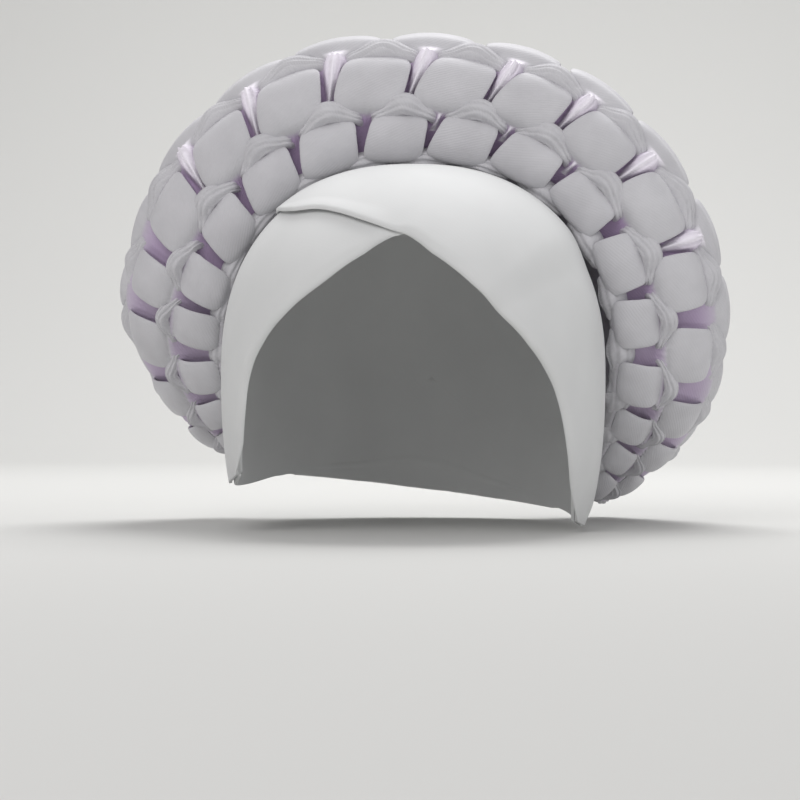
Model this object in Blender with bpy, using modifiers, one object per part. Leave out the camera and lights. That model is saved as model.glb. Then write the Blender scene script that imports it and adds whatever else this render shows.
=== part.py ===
"""Pre-formed gele head tie: a smooth cap with two crossed front wraps and a basket-woven halo.

Frame: metres, +X to the viewer's right, -Y to the front (the face side), +Z up.
The origin is the point inside the cap where the crown of the head touches it.
"""
import math

import bpy
from mathutils import Vector

MM = 0.001

# The head form: a rounded box-like oval. The inner face of the cap lies on it.
HEAD_HALF_WIDTH = 74.4 * MM
HEAD_HALF_DEPTH = 92.0 * MM
CROWN_HEIGHT = 80.0 * MM      # from the widest level up to the crown
NAPE_DROP = 118.0 * MM        # half height of the same oval below the widest level
HEAD_FULLNESS = 2.35          # 2 is an ellipsoid, more is fuller
WIDEST_LEVEL = -CROWN_HEIGHT

CLOTH = 1.3 * MM              # cap and wraps, each a doubled scuba knit
LAYER_GAP = 0.75 * MM
BAND_CLOTH = 1.8 * MM         # one woven band, folded and stuffed flat
RING_CLOTH = 1.8 * MM
PANEL_CLOTH = 2.0 * MM

CAP_MIDDLE = CLOTH / 2
LEFT_MIDDLE = CLOTH * 1.5 + LAYER_GAP
RIGHT_TOP_MIDDLE = CLOTH * 2.5 + LAYER_GAP * 2
SEAM_LIFT = CLOTH * 3 + LAYER_GAP * 3

HALO_WIDTH = 53.0 * MM        # from the seam on the cap out to the rim, at the top
PUFF_LEVEL = 5.2 * MM         # how far a band stands off the middle of the weave
CROSSING = (BAND_CLOTH + RING_CLOTH) / 2
RING_HALF_WIDTH = 2.9 * MM
ROOMY_SPACING = 12.0 * MM      # where columns stand closer than this, pinched bands get narrower
PUFF_CROWN = 1.6 * MM         # how far the middle of a puff stands above its sides

FIRST_COLUMN = -16            # columns are numbered clockwise, even ones start the inner row
LAST_COLUMN = 18
RING_OVERRUN = 0.75           # how far the ring bands run past the end columns

# Face edge of the cap and wraps, seen from the front.
# angle: degrees clockwise from the top; forward: distance to the front, share of the half depth
FACE_EDGE = [
    (-122, 0.550), (-114, 0.613), (-104, 0.660), (-95, 0.690), (-87, 0.726), (-76, 0.788),
    (-60, 0.855), (-40, 0.892), (-18, 0.878), (0, 0.835), (18, 0.883), (40, 0.901),
    (60, 0.880), (76, 0.824), (87, 0.762), (95, 0.710), (103, 0.664), (112, 0.612),
    (121, 0.545), (128, 0.470), (132, 0.400),
]
# Edge of the upper wrap where it crosses the lower one; the lower wrap has the same, mirrored.
CROSS_EDGE = [(0, 0.835), (8, 0.815), (17, 0.766), (25, 0.685), (31, 0.612), (38, 0.520), (45, 0.42)]
CROSS_REACH = 44.5            # degrees past the middle where the crossing wrap ends
WRAP_BACK = 0.02              # both wraps end here under the halo
WRAP_ROWS = 5
CAP_EDGE_INSET = 0.25         # rows that the cap's edge lies inside the wraps' folded edge
STATION_ANGLES = [-121 + 11 * step for step in range(24)]

# Lower rim of the cap behind the ears and across the nape.
# angle: degrees clockwise from the top; back: share of the half depth
NAPE_EDGE = [
    (132, -0.330), (133.5, 0.350), (140, 0.695), (150, 0.852), (165, 0.921), (180, 0.941),
    (195, 0.935), (210, 0.907), (220, 0.855), (230, 0.747), (236.5, 0.300), (238, -0.550),
]

# The halo along its seam. column: even for inner-row puffs; angle: degrees clockwise from the
# top; back: share of the half depth; turn: degrees that the halo leans backwards; width: share
# of HALO_WIDTH; depth: share of the full front-to-back depth; skew: columns leaned per width
HALO = [
    (-20, -126, 0.620, 80, 0.74, 0.50, 0.00),
    (-18, -117, 0.500, 77, 0.80, 0.56, 0.00),
    (-16, -108, 0.380, 70, 0.87, 0.64, 0.10),
    (-14, -99, 0.280, 57, 0.93, 0.74, 0.30),
    (-12, -88, 0.200, 42, 0.97, 0.84, 0.60),
    (-10, -75.8, 0.130, 24, 1.00, 0.94, 0.90),
    (-8, -65, 0.090, 15, 0.98, 1.00, 1.00),
    (-6, -51, 0.075, 8, 0.99, 1.00, 1.20),
    (-4, -36.3, 0.070, 5, 1.00, 1.00, 1.25),
    (-2, -20.9, 0.070, 2, 1.02, 1.00, 1.30),
    (0, -4.5, 0.070, 0, 0.98, 1.00, 1.35),
    (2, 12.1, 0.070, 0, 0.96, 1.00, 1.25),
    (4, 28, 0.070, 0, 0.96, 1.00, 0.95),
    (6, 44.3, 0.070, 2, 0.93, 1.00, 0.60),
    (8, 61, 0.075, 4, 0.92, 1.00, 0.50),
    (10, 75.7, 0.100, 9, 0.91, 0.98, 0.40),
    (12, 90.5, 0.150, 24, 0.91, 0.92, 0.25),
    (14, 102, 0.270, 43, 0.93, 0.82, 0.25),
    (16, 112.2, 0.385, 60, 0.92, 0.72, 0.25),
    (18, 122, 0.500, 74, 0.89, 0.62, 0.20),
    (20, 132.0, 0.620, 80, 0.84, 0.55, 0.10),
    (22, 141.0, 0.720, 82, 0.78, 0.50, 0.00),
]

# Cross-section of the halo, from the cap over the front and round the rim to the back.
# out: from the seam, share of the halo's width; front: forward, share of the width
PROFILE = [
    (0.030, -0.080),
    (0.098, 0.015),           # 1, inner ring band
    (0.430, 0.125),           # 2, ring band between the two rows
    (0.860, 0.025),           # 3, ring band at the front of the rim
    (0.850, -0.440),          # 4, ring band at the back of the rim
    (0.700, -0.640),
]
RIM_BULGE = 0.055             # how far the rim stands out between the last two ring bands

# A woven band along the cross-section. place: in steps of PROFILE; level: share of PUFF_LEVEL;
# half: half width in columns
INNER_ROW_BAND = [
    (0.42, -0.52, 0.22),
    (1.00, 0.00, 0.24),
    (1.18, 0.60, 0.26),
    (1.34, 1.00, 0.84),
    (1.58, 0.97, 0.86),
    (1.77, 0.62, 0.43),
    (2.00, 0.00, 0.36),
    (2.21, -0.62, 0.34),
    (2.50, -1.00, 0.30),
    (2.79, -0.62, 0.24),
    (3.00, 0.00, 0.20),
    (3.17, 0.60, 0.23),
    (3.34, 0.95, 0.80),
    (3.62, 0.95, 0.80),
    (3.82, 0.60, 0.38),
    (4.00, 0.00, 0.34),
    (4.40, -0.40, 0.32),
]
OUTER_ROW_BAND = [
    (0.58, 0.42, 0.24),
    (1.00, 0.00, 0.24),
    (1.26, -0.70, 0.30),
    (1.53, -1.00, 0.31),
    (1.78, -0.62, 0.22),
    (2.00, 0.00, 0.18),
    (2.18, 0.62, 0.22),
    (2.34, 1.00, 0.80),
    (2.62, 1.00, 0.82),
    (2.80, 0.62, 0.41),
    (3.00, 0.00, 0.36),
    (3.17, -0.62, 0.32),
    (3.52, -0.95, 0.30),
    (3.83, -0.62, 0.24),
    (4.00, 0.00, 0.20),
    (4.40, 0.40, 0.24),
]

# The four ring bands. place: step of PROFILE; over_inner: True where the ring band passes
# over the inner-row bands; near, far: phase in columns where it starts down and is fully under;
# above, below: clearance to the band it passes over and under, in metres
RINGS = [
    ("ring_band_inner", 1, False, 0.30, 0.68, 0.5 * MM, 0.7 * MM),
    ("ring_band_middle", 2, True, 0.42, 0.74, 0.5 * MM, 0.7 * MM),
    ("ring_band_rim_front", 3, False, 0.42, 0.72, 0.5 * MM, 1.2 * MM),
    ("ring_band_rim_back", 4, True, 0.43, 0.72, 0.5 * MM, 1.2 * MM),
]

# The plain cover behind the weave. on_cap: distance back on the cap, share of the half depth
COVER_EDGE = [
    (-20, -118, 0.900), (-16, -106, 0.880), (-12, -90, 0.850), (-8, -66, 0.790), (-4, -37, 0.720),
    (0, -3, 0.690), (4, 28, 0.700), (8, 60, 0.750), (12, 90, 0.810), (16, 108, 0.860),
    (20, 122, 0.890), (22, 126, 0.90),
]
COVER_START = 4.60            # step of PROFILE where the cover meets the ends of the woven bands
COVER_BULGE = 5.0 * MM


def table_value(rows, key, column):
    """Read one column of a table, with a smooth curve through its rows."""
    last = len(rows) - 1
    index = 0
    while index < last - 1 and rows[index + 1][0] < key:
        index += 1
    left = rows[index]
    right = rows[index + 1]
    before = rows[max(index - 1, 0)]
    after = rows[min(index + 2, last)]
    span = right[0] - left[0]
    share = (key - left[0]) / span
    share = min(max(share, 0.0), 1.0)
    slope_in = (right[column] - before[column]) / max(right[0] - before[0], 1e-9) * span
    slope_out = (after[column] - left[column]) / max(after[0] - left[0], 1e-9) * span
    s2 = share * share
    s3 = s2 * share
    return (
        (2 * s3 - 3 * s2 + 1) * left[column]
        + (s3 - 2 * s2 + share) * slope_in
        + (3 * s2 - 2 * s3) * right[column]
        + (s3 - s2) * slope_out
    )


def signed_power(value, power):
    return math.copysign(abs(value) ** power, value)


def head_point(angle, back, lift):
    """A point on the head form, lifted off it by a distance along its own normal."""
    turn = math.radians(angle)
    half_height = CROWN_HEIGHT if math.cos(turn) > 0 else NAPE_DROP
    n = HEAD_FULLNESS
    spread = abs(math.sin(turn) / HEAD_HALF_WIDTH) ** n + abs(math.cos(turn) / half_height) ** n
    radius = spread ** (-1 / n)
    radius *= max(1.0 - abs(back) ** n, 0.0) ** (1 / n)
    x = radius * math.sin(turn)
    y = back * HEAD_HALF_DEPTH
    z = radius * math.cos(turn)
    normal = Vector((
        signed_power(x / HEAD_HALF_WIDTH, n - 1) / HEAD_HALF_WIDTH,
        signed_power(y / HEAD_HALF_DEPTH, n - 1) / HEAD_HALF_DEPTH,
        signed_power(z / half_height, n - 1) / half_height,
    )).normalized()
    return Vector((x, y, z + WIDEST_LEVEL)) + normal * lift


def seam_point(column):
    angle = table_value(HALO, column, 1)
    back = table_value(HALO, column, 2)
    return head_point(angle, back, SEAM_LIFT)


def halo_frame(column):
    """Origin, along-seam direction, outward direction and forward direction of the halo."""
    origin = seam_point(column)
    along = (seam_point(column + 0.2) - seam_point(column - 0.2)).normalized()
    angle = math.radians(table_value(HALO, column, 1))
    lean = math.radians(table_value(HALO, column, 3))
    outward = Vector((
        math.sin(angle) * math.cos(lean),
        math.sin(lean),
        math.cos(angle) * math.cos(lean),
    ))
    forward = along.cross(outward).normalized()
    return origin, along, outward, forward


def profile_point(place):
    """Outward and forward shares of the cross-section at a step, with the rim rounded out."""
    rows = [(index,) + row for index, row in enumerate(PROFILE)]
    out = table_value(rows, place, 1)
    front = table_value(rows, place, 2)
    if 3.0 < place < 4.0:
        out += RIM_BULGE * math.sin(math.pi * (place - 3.0)) ** 2
    return out, front


def weave_base(column, place):
    """A point on the middle surface of the weave; columns lean as they run outwards."""
    out, front = profile_point(place)
    skew = table_value(HALO, column, 6)
    leaned = column + skew * (min(out, 0.9) - 0.25)
    origin, along, outward, forward = halo_frame(leaned)
    width = HALO_WIDTH * table_value(HALO, leaned, 4)
    depth = table_value(HALO, leaned, 5)
    return origin + outward * (out * width) + forward * (front * width * depth)


def weave_axes(column, place):
    """Unit vectors across the ring bands, along them, and out of the weave."""
    step = 0.05
    run = (weave_base(column, place + step) - weave_base(column, place - step)).normalized()
    along = (weave_base(column + 0.1, place) - weave_base(column - 0.1, place)).normalized()
    up = along.cross(run).normalized()
    return run, along, up


def weave_point(column, place, level):
    run, along, up = weave_axes(column, place)
    return weave_base(column, place) + up * level


def new_collection(name, hidden=False):
    collection = bpy.data.collections.new(name)
    bpy.context.scene.collection.children.link(collection)
    collection.hide_render = hidden
    return collection


def cloth_material(name, colour):
    material = bpy.data.materials.new(name)
    material.use_nodes = True
    shader = material.node_tree.nodes["Principled BSDF"]
    shader.inputs["Base Color"].default_value = colour
    shader.inputs["Roughness"].default_value = 0.85
    return material


def add_sheet(name, grid, thickness, colour, collection, closed_tip=None):
    """Make a solid sheet from rows of points, thickened evenly to both sides."""
    vertices = [point for row in grid for point in row]
    wide = len(grid[0])
    faces = []
    for r in range(len(grid) - 1):
        for c in range(wide - 1):
            a = r * wide + c
            faces.append((a, a + 1, a + wide + 1, a + wide))
    if closed_tip is not None:
        tip = len(vertices)
        vertices.append(closed_tip)
        start = (len(grid) - 1) * wide
        for c in range(wide - 1):
            faces.append((start + c, start + c + 1, tip))
    mesh = bpy.data.meshes.new(name)
    mesh.from_pydata(vertices, [], faces)
    mesh.update()
    obj = bpy.data.objects.new(name, mesh)
    collection.objects.link(obj)
    mesh.materials.append(cloth_material(name + "_cloth", colour))
    weld = obj.modifiers.new("weld", "WELD")
    weld.merge_threshold = 0.00002
    solid = obj.modifiers.new("cloth thickness", "SOLIDIFY")
    solid.thickness = thickness
    solid.offset = 0.0
    solid.use_even_offset = False
    return obj


def eased(start, end, share):
    """A back share between two others, spaced evenly round the head's curve."""
    first = math.asin(start)
    last = math.asin(end)
    return math.sin(first + (last - first) * share)


def face_edge(angle):
    """Back share of the cap's open edge at an angle from -121 up to 238 degrees."""
    if angle <= 132.0:
        return -table_value(FACE_EDGE, angle, 1)
    return table_value(NAPE_EDGE, angle, 1)


def row_point(angle, row, lift):
    """A point of the shared rows between the open edge and the halo; row may be a fraction.

    Rows of the cap and of both wraps lie on the same flat facets, so the layers stay parallel.
    """
    edge = face_edge(angle)
    end = max(WRAP_BACK, edge + 0.001)
    first = min(int(row), WRAP_ROWS - 1)
    near = head_point(angle, eased(edge, end, first / WRAP_ROWS), lift)
    far = head_point(angle, eased(edge, end, (first + 1) / WRAP_ROWS), lift)
    return near.lerp(far, row - first)


def row_at(angle, back):
    """Which row lies at a back share, as a fraction."""
    edge = face_edge(angle)
    first = math.asin(edge)
    last = math.asin(max(WRAP_BACK, edge + 0.001))
    return WRAP_ROWS * (math.asin(back) - first) / (last - first)


def build_cap(collection):
    front_angles = STATION_ANGLES[:-1]
    nape_angles = [row[0] for row in NAPE_EDGE]
    angles = front_angles + nape_angles
    back_shares = [0.30, 0.56, 0.76, 0.90, 0.975]
    grid = []
    for row in range(WRAP_ROWS + 1):
        line = []
        for angle in angles:
            line.append(row_point(angle, max(row, CAP_EDGE_INSET), CAP_MIDDLE))
        grid.append(line)
    for share in back_shares:
        line = []
        for angle in angles:
            start = max(WRAP_BACK, face_edge(angle))
            top = max(share, start + (1.0 - start) * share * 0.55)
            line.append(head_point(angle, top, CAP_MIDDLE))
        grid.append(line)
    for line in grid:
        line.append(line[0].copy())
    tip = head_point(0.0, 1.0, CAP_MIDDLE)
    return add_sheet("cap", grid, CLOTH, (0.78, 0.8, 0.8, 1), collection, closed_tip=tip)


def wrap_grid(side):
    """Points of one front wrap. side +1 is the right wrap, on top; -1 the left one below it."""
    angles = [angle for angle in STATION_ANGLES if angle * side >= -CROSS_REACH]
    grid = []
    for row in range(WRAP_ROWS + 1):
        line = []
        for angle in angles:
            first = 0.0
            if angle * side < 0:
                first = row_at(angle, -table_value(CROSS_EDGE, abs(angle), 1))
            lift = LEFT_MIDDLE
            if side > 0:
                over = min(max((60.0 - angle) / 14.0, 0.0), 1.0)
                over = over * over * (3 - 2 * over)
                lift = LEFT_MIDDLE + (RIGHT_TOP_MIDDLE - LEFT_MIDDLE) * over
            line.append(row_point(angle, max(row, first), lift))
        grid.append(line)
    return grid


def band_grid(column, stations):
    grid = []
    for place, level, half in stations:
        height = level * PUFF_LEVEL
        if half < 0.5:
            spacing = (weave_base(column + 0.5, place) - weave_base(column - 0.5, place)).length
            half *= min(1.0, spacing / ROOMY_SPACING) ** 2
        crown = PUFF_CROWN * max(half - 0.45, 0.0) / 0.45
        line = [
            weave_point(column - half, place, height - crown * 0.5),
            weave_point(column, place, height + crown * 0.5),
            weave_point(column + half, place, height - crown * 0.5),
        ]
        grid.append(line)
    return grid


def band_slope(column, stations, place):
    """Direction in which a band runs at a place, in the weave's own axes."""
    middle = [weave_point(column, row[0], row[1] * PUFF_LEVEL) for row in stations]
    for index in range(1, len(stations) - 1):
        if abs(stations[index][0] - place) < 0.01:
            return (middle[index + 1] - middle[index - 1]).normalized()
    return (middle[1] - middle[0]).normalized()


def ring_grid(place, over_inner, near, far, above, below):
    grid = []
    start = FIRST_COLUMN - RING_OVERRUN
    end = LAST_COLUMN + RING_OVERRUN
    for column in range(FIRST_COLUMN - 1, LAST_COLUMN + 2):
        inner = column % 2 == 0
        stations = INNER_ROW_BAND if inner else OUTER_ROW_BAND
        over = inner == over_inner
        reach = near if over else 1.0 - far
        offsets = [-reach, 0.0, reach] if over else [-reach, reach]
        for offset in offsets:
            position = column + offset
            if position < start or position > end:
                continue
            shifted = column + offset
            run = band_slope(column, stations, place)
            along = weave_axes(shifted, place)[1]
            turn = weave_axes(column, place)[0].rotation_difference(weave_axes(shifted, place)[0])
            run = (turn @ run).normalized()
            up = along.cross(run).normalized()
            offset = CROSSING + above if over else -CROSSING - below
            centre = weave_base(shifted, place) + up * offset
            grid.append([centre - run * RING_HALF_WIDTH, centre + run * RING_HALF_WIDTH])
    return grid


def cover_grid():
    grid = []
    steps = 26
    start = FIRST_COLUMN - RING_OVERRUN
    end = LAST_COLUMN + RING_OVERRUN
    for row in range(5):
        share = row / 4
        line = []
        for step in range(steps + 1):
            column = start + (end - start) * step / steps
            outer = weave_point(column, COVER_START, 0.0)
            angle = table_value(COVER_EDGE, column, 1)
            back = table_value(COVER_EDGE, column, 2)
            inner = head_point(angle, back, CLOTH + LAYER_GAP + PANEL_CLOTH / 2)
            point = outer.lerp(inner, share)
            point += Vector((0, 1, 0)) * (COVER_BULGE * math.sin(math.pi * share))
            line.append(point)
        grid.append(line)
    return grid


def band_name(column):
    row = "inner" if column % 2 == 0 else "outer"
    number = (column - FIRST_COLUMN) // 2 + 1
    return "%s_row_band_%02d" % (row, number)


def main():
    for obj in list(bpy.data.objects):
        bpy.data.objects.remove(obj, do_unlink=True)
    collection = new_collection("gele_head_tie")
    white = (0.80, 0.81, 0.82, 1)
    shade = (0.72, 0.70, 0.76, 1)
    build_cap(collection)
    add_sheet("left_wrap", wrap_grid(-1), CLOTH, white, collection)
    add_sheet("right_wrap", wrap_grid(1), CLOTH, white, collection)
    for name, *shape in RINGS:
        add_sheet(name, ring_grid(*shape), RING_CLOTH, white, collection)
    for column in range(FIRST_COLUMN, LAST_COLUMN + 1):
        stations = INNER_ROW_BAND if column % 2 == 0 else OUTER_ROW_BAND
        grid = band_grid(column, stations)
        add_sheet(band_name(column), grid, BAND_CLOTH, shade, collection)
    add_sheet("back_cover", cover_grid(), PANEL_CLOTH, shade, collection)


main()
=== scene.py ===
"""Pre-formed gele head tie: a smooth scuba cap with two crossed front wraps and a basket-woven
halo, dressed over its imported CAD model.

Frame: metres, +X to the viewer's right, -Y to the front (the face side), +Z up. The origin is
the point inside the cap where the crown of the head touches it.
"""
import math

import bpy
import numpy as np
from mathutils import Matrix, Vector


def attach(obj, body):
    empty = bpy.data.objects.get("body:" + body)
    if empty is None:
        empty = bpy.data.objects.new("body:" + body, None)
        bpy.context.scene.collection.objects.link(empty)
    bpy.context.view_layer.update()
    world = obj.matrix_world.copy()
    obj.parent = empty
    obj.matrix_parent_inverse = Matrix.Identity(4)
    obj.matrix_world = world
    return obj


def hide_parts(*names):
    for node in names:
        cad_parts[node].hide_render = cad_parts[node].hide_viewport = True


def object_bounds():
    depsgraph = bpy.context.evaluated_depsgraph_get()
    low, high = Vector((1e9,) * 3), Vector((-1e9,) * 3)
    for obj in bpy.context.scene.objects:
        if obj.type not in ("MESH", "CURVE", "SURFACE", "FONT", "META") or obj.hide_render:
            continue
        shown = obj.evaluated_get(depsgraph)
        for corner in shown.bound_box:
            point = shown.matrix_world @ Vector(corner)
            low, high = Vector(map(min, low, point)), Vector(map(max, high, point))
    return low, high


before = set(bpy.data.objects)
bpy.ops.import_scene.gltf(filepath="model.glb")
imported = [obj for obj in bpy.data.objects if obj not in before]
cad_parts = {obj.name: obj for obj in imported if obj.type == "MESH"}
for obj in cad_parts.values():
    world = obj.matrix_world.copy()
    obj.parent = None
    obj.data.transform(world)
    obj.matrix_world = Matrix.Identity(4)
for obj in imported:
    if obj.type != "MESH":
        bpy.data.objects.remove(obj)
cad_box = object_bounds()

MM = 0.001

# Sizes and tables, most of them as in the part's source; the edges of the cloth and the halo's
# widths are finer here
HEAD_HALF_WIDTH = 74.4 * MM
HEAD_HALF_DEPTH = 92.0 * MM
CROWN_HEIGHT = 80.0 * MM
NAPE_DROP = 118.0 * MM
HEAD_FULLNESS = 2.35
WIDEST_LEVEL = -CROWN_HEIGHT

CLOTH = 1.3 * MM              # cap and wraps, each a doubled scuba knit
LAYER_GAP = 0.75 * MM
CAP_MIDDLE = CLOTH / 2
LEFT_MIDDLE = CLOTH * 1.5 + LAYER_GAP
RIGHT_TOP_MIDDLE = CLOTH * 2.5 + LAYER_GAP * 2
SEAM_LIFT = CLOTH * 3 + LAYER_GAP * 3
PANEL_CLOTH = 2.0 * MM

HALO_WIDTH = 53.0 * MM        # from the seam on the cap out to the rim, at the top
PUFF_LEVEL = 5.2 * MM         # how far a band stands off the middle of the weave
RIM_BULGE = 0.055             # how far the rim stands out between the last two ring bands
FIRST_COLUMN = -16            # columns are numbered clockwise, even ones start the inner row
LAST_COLUMN = 18
MIDDLE_COLUMN = 1
RING_OVERRUN = 0.75           # how far the ring bands run past the end columns
LEAN_PIVOT = 0.25             # share of the halo's width about which its columns lean
LEAN_LIMIT = 0.90             # from this share outwards they lean no further

# Face edge of the cap and wraps: angle, in degrees clockwise from the top seen from the front,
# and forward share of the half depth
FACE_EDGE = [
    (-122, 0.550), (-114, 0.613), (-104, 0.660), (-95, 0.690), (-87, 0.726), (-76, 0.788),
    (-60, 0.855), (-40, 0.892), (-18, 0.878), (0, 0.835), (18, 0.883), (40, 0.901),
    (60, 0.880), (76, 0.824), (87, 0.762), (95, 0.710), (103, 0.664), (112, 0.612),
    (121, 0.545), (128, 0.470), (132, 0.400),
]
FACE_END = 132.0              # degrees where the face edge ends and the nape edge starts
# Edge of the upper wrap where it crosses the lower one and runs out under the halo
CROSS_EDGE = [
    (0, 0.835), (5.3, 0.822), (13.8, 0.786), (21.1, 0.726), (27.5, 0.652), (31.6, 0.602),
    (34.4, 0.550), (37, 0.440), (39, 0.240), (40.5, -0.02),
]
WRAP_BACK = 0.02              # both wraps end here under the halo
LEAST_REACH = 1e-4            # least back share from a wrap's edge to its end
WRAP_ENDS = {-1: 121.8, 1: 131.8}    # degrees where each wrap ends beside the face
WRAP_NARROWING = 0.26         # the back edge comes this much nearer at that end
NARROWING_SPAN = 10.0         # over this many degrees
CROSS_END = 40.5              # degrees past the middle where a wrap's tip runs out
CROSS_LIFT_SPAN = (46.0, 60.0)       # over these degrees the upper wrap comes down off the lower one
ROLL_RADIUS = 4.5 * MM        # of the rolled face edge
TIP_ROLL_RADIUS = 1.5 * MM    # and of the edge that crosses
ROLL_SPAN = (-3.0, 9.0)       # degrees from one radius to the other
ROLL_DEPTH = 0.45             # how far the rolled edge turns in, as a share of its radius
ROLL_END_SPAN = 9.0           # degrees over which the roll runs out at the wrap's end
OPEN_EDGE_SPAN = (1.0, 14.0, 34.0, 40.0)     # degrees past the middle where its edge stands open
OPEN_EDGE_LIFT = 0.9 * MM
OPEN_EDGE_REACH = (1.0 * MM, 12.0 * MM)      # distances from the edge over which that fades
CAP_INSET = 0.05              # the cap's edge lies this far inside the wraps' edges
CAP_BACK = 0.99999            # the last row of points round the cap's back
HEM_PLACE = 9.0 * MM          # the nape's hem seam, from the edge
HEM_HALF_BREADTH = 1.2 * MM
HEM_DEPTH = 0.45 * MM
HEM_SPAN = (136.0, 146.0, 224.0, 233.0)      # degrees where the hem starts and ends

# How finely the sheets are divided: degrees from, to and how many; rows are closer near the edge
CAP_ANGLES = [(-121.0, 239.0, 289), (131.0, 138.0, 60), (230.0, 239.0, 90)]
CAP_ROWS = 64
CAP_ROW_POWER = 1.35
WRAP_ANGLES = 200
WRAP_ROWS = 56
WRAP_ROW_POWER = 1.9
COVER_COLUMNS = 161
COVER_ROWS = 25

# Lower rim of the cap behind the ears and across the nape: angle, back share of the half depth
NAPE_EDGE = [
    (132, -0.330), (132.8, 0.300), (134, 0.530), (137, 0.659), (141, 0.758), (146, 0.830),
    (152, 0.879), (160, 0.915), (170, 0.935), (180, 0.941), (190, 0.941), (200, 0.932),
    (208, 0.914), (214, 0.890), (220, 0.853), (225, 0.805), (229, 0.747), (232.5, 0.672),
    (235, 0.580), (237, 0.300), (238, -0.500),
]

# The halo along its seam. column; angle; back share; degrees that it leans backwards; width:
# share of HALO_WIDTH; depth: share of the full depth; skew: columns leaned per width
HALO = [
    (-20, -126, 0.620, 80, 0.66, 0.50, 0.00),
    (-18, -117, 0.500, 77, 0.74, 0.56, 0.00),
    (-16, -108, 0.380, 70, 0.87, 0.64, 0.10),
    (-14, -99, 0.280, 57, 1.00, 0.74, 0.30),
    (-12, -88, 0.200, 42, 1.05, 0.84, 0.60),
    (-10, -75.8, 0.130, 24, 1.05, 0.94, 0.90),
    (-8, -65, 0.090, 15, 0.98, 1.00, 1.00),
    (-6, -51, 0.075, 8, 0.99, 1.00, 1.20),
    (-4, -36.3, 0.070, 5, 1.00, 1.00, 1.25),
    (-2, -20.9, 0.070, 2, 1.02, 1.00, 1.30),
    (0, -4.5, 0.070, 0, 0.98, 1.00, 1.35),
    (2, 12.1, 0.070, 0, 0.96, 1.00, 1.25),
    (4, 28, 0.070, 0, 0.96, 1.00, 0.95),
    (6, 44.3, 0.070, 2, 0.93, 1.00, 0.60),
    (8, 61, 0.075, 4, 0.92, 1.00, 0.50),
    (10, 75.7, 0.100, 9, 0.91, 0.98, 0.40),
    (12, 90.5, 0.150, 24, 0.91, 0.92, 0.25),
    (14, 102, 0.270, 43, 0.93, 0.82, 0.25),
    (16, 112.2, 0.385, 60, 0.92, 0.72, 0.25),
    (18, 122, 0.500, 74, 0.89, 0.62, 0.20),
    (20, 132.0, 0.620, 80, 0.84, 0.55, 0.10),
    (22, 141.0, 0.720, 82, 0.78, 0.50, 0.00),
]

# Cross-section of the halo. place, with ring bands at 1 to 4; how far out and how far forward,
# both as shares of the halo's width
PROFILE = [
    (0, -0.005, -0.080),
    (1, 0.062, 0.015),
    (2, 0.430, 0.125),
    (3, 0.860, 0.025),
    (4, 0.850, -0.440),
    (5, 0.700, -0.640),
]

# Where the back cover meets the cap: column, angle, back share
COVER_EDGE = [
    (-20, -118, 0.900), (-16, -106, 0.880), (-12, -90, 0.850), (-8, -66, 0.790), (-4, -37, 0.720),
    (0, -3, 0.690), (4, 28, 0.700), (8, 60, 0.750), (12, 90, 0.810), (16, 108, 0.860),
    (20, 122, 0.890), (22, 126, 0.90),
]
COVER_START = 4.60            # the cover starts at this place, where the woven bands end
COVER_BULGE = 5.0 * MM

# The cloth of the weave

# A woven band along the cross-section. place; level: share of PUFF_LEVEL; half width in
# columns; crown: how far the top of the puff swells, mm; pleat: depth of the gathers, mm
INNER_ROW_CLOTH = [
    (0.42, -0.50, 0.34, 0.0, 0.20),
    (0.80, -0.25, 0.36, 0.0, 0.30),
    (0.96, 0.15, 0.48, 0.1, 0.30),
    (1.03, 0.50, 0.72, 0.3, 0.20),
    (1.11, 0.80, 0.86, 0.5, 0.10),
    (1.22, 0.98, 0.91, 0.6, 0.02),
    (1.42, 1.08, 0.89, 0.7, 0.00),
    (1.62, 1.02, 0.84, 0.6, 0.00),
    (1.78, 0.78, 0.79, 0.5, 0.05),
    (1.90, 0.32, 0.66, 0.3, 0.20),
    (2.00, -0.10, 0.50, 0.0, 0.35),
    (2.10, -0.34, 0.40, 0.0, 0.40),
    (2.26, -0.34, 0.36, 0.0, 0.35),
    (2.48, -0.24, 0.42, 0.0, 0.35),
    (2.70, -0.06, 0.48, 0.1, 0.35),
    (2.87, 0.08, 0.48, 0.2, 0.35),
    (3.00, 0.22, 0.36, 0.4, 0.30),
    (3.10, 0.52, 0.48, 0.7, 0.20),
    (3.25, 0.86, 0.84, 1.0, 0.05),
    (3.50, 0.96, 0.90, 1.2, 0.00),
    (3.74, 0.88, 0.84, 1.0, 0.05),
    (3.88, 0.50, 0.70, 0.6, 0.20),
    (4.00, 0.00, 0.45, 0.0, 0.30),
    (4.40, -0.40, 0.36, 0.0, 0.20),
]
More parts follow.
